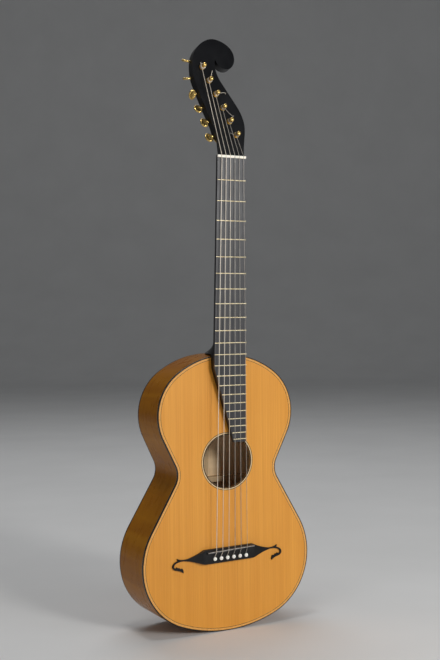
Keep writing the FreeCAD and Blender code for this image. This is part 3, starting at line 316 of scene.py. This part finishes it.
def plain_string():
    """Translucent plain string."""
    f = Finish("plain_string")
    tone = f.noise(f.stretch(300, 300, 30), 1.0, 3.0)
    f.colour(f.ramp(tone, [(0.3, (0.38, 0.35, 0.31)), (0.7, (0.54, 0.50, 0.45))]))
    f.roughness(f.remap(tone, 0.3, 0.7, 0.22, 0.34))
    f.set(Transmission_Weight=0.25, IOR=1.5)
    f.bump(tone, 0.05, 0.00002)
    return f.mat


def floor_finish():
    """Pale matt floor with a barely visible mottle."""
    f = Finish("floor_finish")
    mottle = f.noise(f.stretch(3, 3, 3), 1.0, 3.0)
    f.colour(f.ramp(mottle, [(0.3, (0.70, 0.70, 0.70)), (0.7, (0.74, 0.74, 0.74))]))
    f.roughness(0.7)
    return f.mat


SPRUCE = spruce_top()
RAW = raw_spruce()
RIB = maple_rib()
INSIDE = maple_inside()
PALE = pale_maple("pale_maple", (0.62, 0.285, 0.050), (0.76, 0.375, 0.080))
ROSETTE = pale_maple("rosette_maple", (0.64, 0.43, 0.20), (0.77, 0.56, 0.30))
BLACK_INLAY = black_wood("black_inlay", (0.007, 0.006, 0.006), 0.22, 0.34, 0.2)
EBONISED = black_wood("ebonised", (0.0016, 0.0018, 0.0030), 0.26, 0.40, 0.05)
BRIDGE_BLACK = black_wood("bridge_black", (0.0022, 0.0020, 0.0024), 0.40, 0.55, 0.02)
EBONY = ebony_board()
BONE = bone("nut_bone", (0.88, 0.85, 0.77))
PIN_BONE = bone("pin_bone", (0.97, 0.965, 0.95))
BRASS = metal("brass", (0.88, 0.63, 0.22), (0.58, 0.36, 0.10), 0.20, 0.36)
FRET = metal("fret_brass", (0.86, 0.75, 0.50), (0.60, 0.46, 0.26), 0.22, 0.38)
DARK_EYE = black_wood("dark_eye", (0.020, 0.016, 0.014), 0.24, 0.34, 0.2)
STEEL = metal("steel", (0.30, 0.29, 0.28), (0.14, 0.13, 0.12), 0.3, 0.45)
WOUND = wound_string()
PLAIN = plain_string()

MATERIAL_OF_SLOT = {
    "spruce": RAW,
    "maple": RIB,
    "pale_maple": PALE,
    "dark_inlay": BLACK_INLAY,
    "ebonised_wood": EBONISED,
    "ebony": EBONY,
    "bone": BONE,
    "pin_bone": PIN_BONE,
    "brass": BRASS,
    "steel": STEEL,
    "wound_string": WOUND,
    "plain_string": PLAIN,
}
slot_of = {s["node"]: s["material_slot"] for s in frame["record"]["subparts"]}
body_of = {n: b for b, members in frame["record"]["behaviour"]["bodies"].items() for n in members}


def paint(obj, material):
    """Give a piece one material, on its own slots."""
    if not obj.data.materials:
        obj.data.materials.append(material)
    for index in range(len(obj.data.materials)):
        obj.data.materials[index] = material


for name, obj in nodes.items():
    paint(obj, MATERIAL_OF_SLOT[slot_of[name]])
paint(nodes["soundboard"], SPRUCE)
paint(nodes["frets"], FRET)
paint(nodes["rosette_maple_ring"], ROSETTE)


# -------------------------------------------------------------------- helpers
def add_mesh(name, mesh, material, body, slot, *replaced):
    """Put a finished mesh into the scene as a piece of one body."""
    obj = bpy.data.objects.new(name, mesh)
    scene.collection.objects.link(obj)
    mesh.materials.clear()
    mesh.materials.append(material)
    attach(obj, body)
    if replaced:
        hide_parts(*replaced)
    return obj


def refined(node, width, segments=3, angle=38):
    """A node's own shape with its sharp edges eased, in place of the plain CAD mesh."""
    mesh = nodes[node].data.copy()
    work = bmesh.new()
    work.from_mesh(mesh)
    bmesh.ops.remove_doubles(work, verts=work.verts, dist=WELD)
    bmesh.ops.dissolve_limit(work, angle_limit=FLAT, verts=work.verts, edges=work.edges, delimit={"NORMAL"})
    work.to_mesh(mesh)
    work.free()
    slot = slot_of[node]
    piece = add_mesh(node + "_eased", mesh, MATERIAL_OF_SLOT[slot], body_of[node], slot, node)
    ease = piece.modifiers.new("ease", "BEVEL")
    ease.width = width
    ease.segments = segments
    ease.limit_method = "ANGLE"
    ease.angle_limit = math.radians(angle)
    ease.harden_normals = True
    ease.miter_outer = "MITER_ARC"
    smooth(piece, angle)
    return piece


def smooth(piece, angle):
    """Shade smooth, with creases kept above an angle."""
    mesh = piece.data
    mesh.shade_smooth()
    mesh.set_sharp_from_angle(angle=math.radians(angle))


def add_cap_faces(faces, sides, rings):
    """Close both ends of a stack of rings of vertices."""
    last = (rings - 1) * sides
    faces.append(tuple(range(sides - 1, -1, -1)))
    faces.append(tuple(range(last, last + sides)))


def tube_mesh(name, points, radius, sides=10):
    """A round tube along a list of points, with its rings turned as little as possible."""
    path = [Vector(p) for p in points]
    tangents = []
    for k in range(len(path)):
        before = path[max(k - 1, 0)]
        after = path[min(k + 1, len(path) - 1)]
        tangents.append((after - before).normalized())
    normal = tangents[0].orthogonal().normalized()
    verts = []
    for k, point in enumerate(path):
        normal = (normal - tangents[k] * normal.dot(tangents[k])).normalized()
        across = tangents[k].cross(normal)
        for j in range(sides):
            turn = 2 * math.pi * j / sides
            verts.append(point + (normal * math.cos(turn) + across * math.sin(turn)) * radius)
    faces = []
    for k in range(len(path) - 1):
        for j in range(sides):
            a = k * sides + j
            b = k * sides + (j + 1) % sides
            faces.append((a, b, b + sides, a + sides))
    add_cap_faces(faces, sides, len(path))
    mesh = bpy.data.meshes.new(name)
    mesh.from_pydata([tuple(v) for v in verts], [], faces)
    mesh.shade_smooth()
    return mesh


def curve_through(points, steps=7):
    """A smooth run through a few points."""
    path = [Vector(p) for p in points]
    path = [2 * path[0] - path[1]] + path + [2 * path[-1] - path[-2]]
    run = []
    for a, b, c, d in zip(path, path[1:], path[2:], path[3:]):
        for k in range(steps):
            t = k / steps
            run.append(0.5 * (2 * b + (c - a) * t + (2 * a - 5 * b + 4 * c - d) * t ** 2
                              + (3 * b - 3 * c + d - a) * t ** 3))
    return run + [path[-2]]


def turned_mesh(name, profile, place, sides):
    """A turned shape: profile of (radius, height) in mm about the local Z."""
    verts, faces = [], []
    for radius, height in profile:
        for k in range(sides):
            turn = 2 * math.pi * k / sides
            spot = Vector((radius * math.cos(turn), radius * math.sin(turn), height)) * MM
            verts.append(tuple(place @ spot))
    for k in range(len(profile) - 1):
        for j in range(sides):
            a, b = k * sides + j, k * sides + (j + 1) % sides
            faces.append((a, b, b + sides, a + sides))
    add_cap_faces(faces, sides, len(profile))
    mesh = bpy.data.meshes.new(name)
    mesh.from_pydata(verts, [], faces)
    mesh.shade_smooth()
    mesh.set_sharp_from_angle(angle=math.radians(40))
    return mesh


def joined(name, meshes):
    """Several meshes as one."""
    work = bmesh.new()
    for mesh in meshes:
        work.from_mesh(mesh)
    whole = bpy.data.meshes.new(name)
    work.to_mesh(whole)
    work.free()
    return whole


# ----------------------------------------------------------------- CAD pieces
paint(refined("bridge", 0.0006), BRIDGE_BLACK)
refined("headstock", 0.0014, 4)
refined("neck", 0.0004, 2, 32)
refined("fingerboard", 0.0004)
refined("fingerboard_support", 0.0005)
refined("nut", 0.0002, 2)
refined("saddle", 0.0002, 2)
refined("tuner_cover", 0.0003, 2)
refined("cover_screws", 0.0001, 2)
refined("front_binding", 0.0005, 3, 60)
refined("back_binding", 0.0005, 3, 60)
for number in range(1, STRINGS + 1):
    refined("string_post_%d" % number, 0.00012, 2, 25)


BODY_TOP = 0.443
HEIGHT_STEP = 0.004
LOOK_AHEAD = 0.003


def half_width(node):
    """How far the body reaches to each side, as a function of height."""
    cells = {}
    for vertex in nodes[node].data.vertices:
        cell = round(vertex.co.z / HEIGHT_STEP)
        cells[cell] = max(cells.get(cell, 0), abs(vertex.co.x))
    known = sorted(cells)

    def at(z):
        cell = z / HEIGHT_STEP
        if not known[0] <= cell <= known[-1]:
            return 0.0
        right = next(c for c in known if c >= cell)
        left = max(c for c in known if c <= cell)
        share = (cell - left) / (right - left) if right > left else 0
        return cells[left] + share * (cells[right] - cells[left])

    return at


reach_at = half_width("front_binding")


def faces_inside(face):
    """Whether a face of the ribs looks into the body."""
    ahead = face.center + face.normal * LOOK_AHEAD
    return 0 < ahead.z < BODY_TOP and abs(ahead.x) < reach_at(ahead.z)


def bare_inside(node, test):
    """The same piece with bare wood on the faces that look into the body."""
    mesh = nodes[node].data.copy()
    piece = add_mesh(node + "_varnished", mesh, RIB, body_of[node], slot_of[node], node)
    mesh.materials.append(INSIDE)
    for face in mesh.polygons:
        face.material_index = 1 if test(face) else 0
    smooth(piece, 30)


bare_inside("rib_bass", faces_inside)
bare_inside("rib_treble", faces_inside)
bare_inside("back", lambda face: face.normal.y < -0.5)

# ----------------------------------------- the head's own frame, lengths in mm
HEAD_PITCH = math.radians(12)
HEAD_FOOT = (0, -20.0, 757.2)
HEAD_PLACE = Matrix.Translation(Vector(HEAD_FOOT) * MM) @ Matrix.Rotation(-HEAD_PITCH, 4, "X")
POST_FOOT = (15.2, 35.4)         # the post nearest the nut
POST_STEP = (-9.53, 22.14)       # from one post to the next, towards the scroll
POST_RADIUS = 3.2
STRING_RADII = (0.56, 0.46, 0.38, 0.46, 0.38, 0.34)
WIND_HEIGHT = 6.0                # where the turns begin, above the head's face
WIND_TURNS = 3.25
WIND_STEPS = 26
WIND_GAP = 0.04                  # between post and string
WIND_PITCH = 2.06                # from turn to turn, in string radii
WIND_END = 0.6                   # clear height left under the turns
# loose ends of the strings, as offsets from their posts in the head's frame
LOOSE_ENDS = (
    ((0, -3, 0), (-2.6, -3.2, 3.0), (-3.4, -4.0, 6.4)),
    ((0, -3, 0), (2.6, -3.4, 3.4), (3.6, -4.8, 9.0), (5.2, -6.0, 15.4)),
    ((0, -3, 0), (4.6, -3.4, 0.8), (10.5, -4.6, 2.0), (14.2, -5.6, 1.6), (14.8, -6.0, -0.6)),
    ((0, -3, 0), (3.6, -3.2, -2.8), (9.4, -3.8, -9.6), (16.2, -4.4, -15.4)),
    ((0, -3, 0), (2.4, -3.3, 3.2), (4.4, -4.2, 6.2), (6.6, -5.2, 8.8)),
    ((0, -3, 0), (-4.6, -3.2, -0.3), (-8.6, -3.8, 0.5), (-12.4, -4.6, 1.2)),
)


def head_point(x, y, z):
    return HEAD_PLACE @ (Vector((x, y, z)) * MM)


def post_foot(i):
    steps = STRINGS - 1 - i
    return POST_FOOT[0] + POST_STEP[0] * steps, POST_FOOT[1] + POST_STEP[1] * steps


def string_line(i):
    """The stretched run of a string: its own tube, without the ring that stands for its turns."""
    node = "string_%d" % (i + 1)
    mesh = nodes[node].data.copy()
    work = bmesh.new()
    work.from_mesh(mesh)
    bmesh.ops.remove_doubles(work, verts=work.verts, dist=WELD)
    start = min(work.verts, key=lambda v: v.co.z)
    found, edge = {start}, [start]
    while edge:
        reached = {e.other_vert(v) for v in edge for e in v.link_edges} - found
        found |= reached
        edge = list(reached)
    bmesh.ops.delete(work, geom=[v for v in work.verts if v not in found], context="VERTS")
    work.to_mesh(mesh)
    work.free()
    mesh.shade_smooth()
    piece = bpy.data.objects.new(node + "_run", mesh)
    scene.collection.objects.link(piece)
    paint(piece, MATERIAL_OF_SLOT[slot_of[node]])
    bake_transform(piece)
    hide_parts(node)


def string_turns(i):
    """Turns of the string round its post, and the loose end that comes out of the post's eye."""
    node = "string_%d" % (i + 1)
    x, z = post_foot(i)
    radius = STRING_RADII[i]
    wrap = POST_RADIUS + radius + WIND_GAP
    coil = []
    for k in range(int(WIND_TURNS * WIND_STEPS) + 1):
        turn = 2 * math.pi * k / WIND_STEPS - math.pi / 2
        fall = min(k / WIND_STEPS * WIND_PITCH * radius, WIND_HEIGHT - radius - WIND_END)
        coil.append(head_point(x + wrap * math.cos(turn), -WIND_HEIGHT + fall, z + wrap * math.sin(turn)))
    ends = [head_point(x + a, b, z + c) for a, b, c in LOOSE_ENDS[i]]
    thick = radius * MM
    meshes = [tube_mesh("coil", coil, thick), tube_mesh("end", curve_through(ends), thick * 0.9)]
    whole = joined(node + "_turns", meshes)
    slot = slot_of[node]
    add_mesh(node + "_turns", whole, MATERIAL_OF_SLOT[slot], "string_post_%d" % (i + 1), slot)


for number in range(STRINGS):
    string_line(number)
    string_turns(number)

# --------------------------------------------------------------- thumb buttons
BUTTON_TURNS = (-28, -21, 50, 118, 108, 110)
BUTTON_WIDE = 13.2
BUTTON_LONG = 16.5
BUTTON_SIDES = 40
SHAFT_RADIUS = 1.6
WORM_HALF = 5.0
WORM_THREADS = 9
WORM_ROOT = 1.75
WORM_CREST = 2.2
JOURNAL = 4.0                    # plain end of the shaft below the worm
# upper half of the button's section, from its middle to its rim: share of the radius and half thickness
BUTTON_SECTION = ((0.0, 1.05), (0.25, 1.07), (0.5, 1.18), (0.68, 1.42), (0.8, 1.62), (0.9, 1.55),
                  (0.96, 1.15), (0.99, 0.6), (1.0, 0.0))


def oval_button(place):
    """A dished oval with a rolled rim, lying in the local XY plane."""
    sides = BUTTON_SIDES
    section = [(share, high) for share, high in BUTTON_SECTION[1:]]
    section += [(share, -high) for share, high in BUTTON_SECTION[-2:0:-1]]
    verts, faces = [tuple(place @ (Vector((0, 0, BUTTON_SECTION[0][1])) * MM))], []
    for share, high in section:
        for k in range(sides):
            turn = 2 * math.pi * k / sides
            spot = Vector((BUTTON_WIDE / 2 * share * math.cos(turn),
                           BUTTON_LONG / 2 * share * math.sin(turn), high))
            verts.append(tuple(place @ (spot * MM)))
    verts.append(tuple(place @ (Vector((0, 0, -BUTTON_SECTION[0][1])) * MM)))
    for k in range(sides):
        after = (k + 1) % sides
        faces.append((0, 1 + k, 1 + after))
        for ring in range(len(section) - 1):
            a, b = 1 + ring * sides + k, 1 + ring * sides + after
            faces.append((a, a + sides, b + sides, b))
        last = 1 + (len(section) - 1) * sides
        faces.append((last + k, len(verts) - 1, last + after))
    mesh = bpy.data.meshes.new("button")
    mesh.from_pydata(verts, [], faces)
    mesh.shade_smooth()
    return mesh


def tuner(i):
    """Worm, shaft with a turned collar, and button, as one brass piece."""
    node = "tuner_%d" % (i + 1)
    joint = joints[node + "_turn"]
    foot = Vector(joint["pos_m"])
    outward = Vector(joint["axis"]).normalized()
    inner = (HEAD_PLACE.to_3x3() @ Vector((0, 1, 0))).normalized()
    third = outward.cross(inner)
    far = max((v.co - foot).dot(outward) for v in nodes[node].data.vertices) / MM
    turn = math.radians(BUTTON_TURNS[i])
    long_way = inner * math.cos(turn) + third * math.sin(turn)
    flat_way = outward.cross(long_way)
    middle = foot + outward * (far - BUTTON_WIDE / 2) * MM
    button_place = Matrix.Translation(middle) @ Matrix((outward, long_way, flat_way)).transposed().to_4x4()
    shaft_place = Matrix.Translation(foot) @ Matrix((long_way, flat_way, outward)).transposed().to_4x4()
    collar = far - BUTTON_WIDE
    end = -WORM_HALF - JOURNAL
    profile = [(SHAFT_RADIUS - 0.2, end), (SHAFT_RADIUS, end + 0.2), (SHAFT_RADIUS, -WORM_HALF)]
    pitch = 2 * WORM_HALF / WORM_THREADS
    for k in range(WORM_THREADS):
        at = -WORM_HALF + pitch * k
        profile += [(WORM_ROOT, at + 0.1 * pitch), (WORM_CREST, at + 0.4 * pitch)]
        profile.append((WORM_CREST, at + 0.6 * pitch))
    profile += [(SHAFT_RADIUS, WORM_HALF), (SHAFT_RADIUS, collar - 0.6), (SHAFT_RADIUS + 0.5, collar - 0.2)]
    profile += [(SHAFT_RADIUS + 0.6, collar + 0.6), (SHAFT_RADIUS + 0.1, collar + 1.4)]
    profile.append((SHAFT_RADIUS - 0.3, collar + 3.4))
    shaft = turned_mesh("shaft", profile, shaft_place, 20)
    whole = joined(node + "_brass", [shaft, oval_button(button_place)])
    piece = add_mesh(node + "_brass", whole, BRASS, node, slot_of[node], node)
    smooth(piece, 42)


for number in range(STRINGS):
    tuner(number)

# ------------------------------------------------------------------ bridge pins
PIN_Z = 119.3
PIN_SPACING = 11.36
BRIDGE_HIGH = 7.0
PIN_HEAD = 3.2
PIN_RADIUS = 2.6
PIN_FOOT = -17.0
PIN_DOME = 1.85                  # rise of the domed head over its edge
DOME_STEPS = 6


def bridge_pin(i):
    """A turned pin with a collar, a domed head and a dark eye let into it."""
    node = "bridge_pin_%d" % (i + 1)
    x = (i - (STRINGS - 1) / 2) * PIN_SPACING
    place = Matrix.Translation(Vector((x, 0, PIN_Z)) * MM) @ Matrix.Rotation(math.radians(90), 4, "X")
    top = BRIDGE_HIGH
    profile = [(PIN_RADIUS - 1.5, PIN_FOOT), (PIN_RADIUS - 1.2, PIN_FOOT + 0.1)]
    profile.append((PIN_RADIUS - 0.8, PIN_FOOT + 0.8))
    profile += [(PIN_RADIUS, top + 0.1), (PIN_HEAD - 0.1, top + 0.45), (PIN_HEAD, top + 0.7)]
    edge = top + 1.2
    profile.append((PIN_HEAD, edge))
    for k in range(1, DOME_STEPS + 1):
        angle = math.pi / 2 * k / (1.1 * DOME_STEPS)
        profile.append((PIN_HEAD * math.cos(angle), edge + PIN_DOME * math.sin(angle)))
    add_mesh(node + "_turned", turned_mesh(node, profile, place, 32), PIN_BONE, node, slot_of[node], node)
    dome = [(0.42, top + 2.6), (0.4, top + 3.06), (0.28, top + 3.1), (0.1, top + 3.1)]
    add_mesh("pin_eye_%d" % (i + 1), turned_mesh("eye", dome, place, 16), DARK_EYE, node, "dark_inlay")


for number in range(STRINGS):
    bridge_pin(number)

# ------------------------------------------------------------- stage and light
FLOOR_HALF = 9.0                 # half of the floor's width, and its reach towards the camera
FLOOR_DEEP = 6.0                 # where the floor starts to rise
FLOOR_CURVE = 2.5
FLOOR_STEPS = 16
WALL_HIGH = 9.0


def add_floor():
    """A wide pale floor that curves up far behind the guitar."""
    mesh = bpy.data.meshes.new("studio_floor")
    half, deep, curve = FLOOR_HALF, FLOOR_DEEP, FLOOR_CURVE
    rows = [(-half, 0.0)]
    rows += [(deep + curve * math.sin(a), curve * (1 - math.cos(a)))
             for a in (math.pi / 2 * k / FLOOR_STEPS for k in range(FLOOR_STEPS + 1))]
    rows.append((deep + curve, WALL_HIGH))
    verts = [(x, y, z) for y, z in rows for x in (-half, half)]
    faces = [(2 * k, 2 * k + 1, 2 * k + 3, 2 * k + 2) for k in range(len(rows) - 1)]
    mesh.from_pydata(verts, [], faces)
    mesh.shade_smooth()
    obj = bpy.data.objects.new("studio_floor", mesh)
    obj.rotation_euler.z = -CAMERA_YAW
    scene.collection.objects.link(obj)
    mesh.materials.append(floor_finish())


CAMERA_PLACE = Vector((-0.8277, -1.5171, 0.5066))
CAMERA_YAW = math.radians(28.305)
CAMERA_PITCH = math.radians(0.813)
CAMERA_ROLL = math.radians(-0.637)
LENS_MM = 58.92


def add_camera():
    """Eye level at the body's waist, from the bass side."""
    ahead = Vector((math.sin(CAMERA_YAW) * math.cos(CAMERA_PITCH),
                    math.cos(CAMERA_YAW) * math.cos(CAMERA_PITCH), -math.sin(CAMERA_PITCH)))
    level = Vector((math.cos(CAMERA_YAW), -math.sin(CAMERA_YAW), 0))
    rise = level.cross(ahead)
    right = level * math.cos(CAMERA_ROLL) + rise * math.sin(CAMERA_ROLL)
    up = rise * math.cos(CAMERA_ROLL) - level * math.sin(CAMERA_ROLL)
    data = bpy.data.cameras.new("camera")
    data.lens = LENS_MM
    data.sensor_width = 36.0
    data.sensor_fit = "AUTO"
    data.clip_start = 0.05
    obj = bpy.data.objects.new("camera", data)
    turn = Matrix((right, up, -ahead)).transposed().to_4x4()
    obj.matrix_world = Matrix.Translation(CAMERA_PLACE) @ turn
    scene.collection.objects.link(obj)
    scene.camera = obj


def add_light(name, place, target, size, power, colour):
    data = bpy.data.lights.new(name, "AREA")
    data.shape = "RECTANGLE"
    data.size, data.size_y = size
    data.energy = power
    data.color = colour
    obj = bpy.data.objects.new(name, data)
    obj.location = place
    aim = Vector(target) - Vector(place)
    obj.rotation_euler = aim.to_track_quat("-Z", "Y").to_euler()
    scene.collection.objects.link(obj)


def add_lights():
    add_light("key", (0.52, -2.3, 1.0), (0, 0, 0.62), (0.45, 0.6), 30.5, (1.0, 0.985, 0.95))
    add_light("sheen", (1.75, -2.6, 1.3), (0, 0, 0.7), (1.5, 1.1), 19, (0.95, 0.975, 1.0))
    add_light("fill", (-2.4, -1.6, 0.7), (0, 0, 0.35), (1.2, 1.6), 5, (1.0, 0.98, 0.96))
    add_light("hair", (-0.5, -0.35, 2.5), (0, 0, 0.85), (0.5, 0.3), 8, (1.0, 0.99, 0.97))
    add_light("top", (0.5, 1.7, 3.2), (0, 0.5, 0), (2.6, 1.8), 34, (0.98, 0.99, 1.0))
    world = bpy.data.worlds.new("world")
    world.use_nodes = True
    back = world.node_tree.nodes["Background"]
    back.inputs["Color"].default_value = (0.86, 0.88, 0.90, 1.0)
    back.inputs["Strength"].default_value = 0.14
    scene.world = world
    scene.view_settings.view_transform = "Standard"


add_floor()
add_camera()
add_lights()
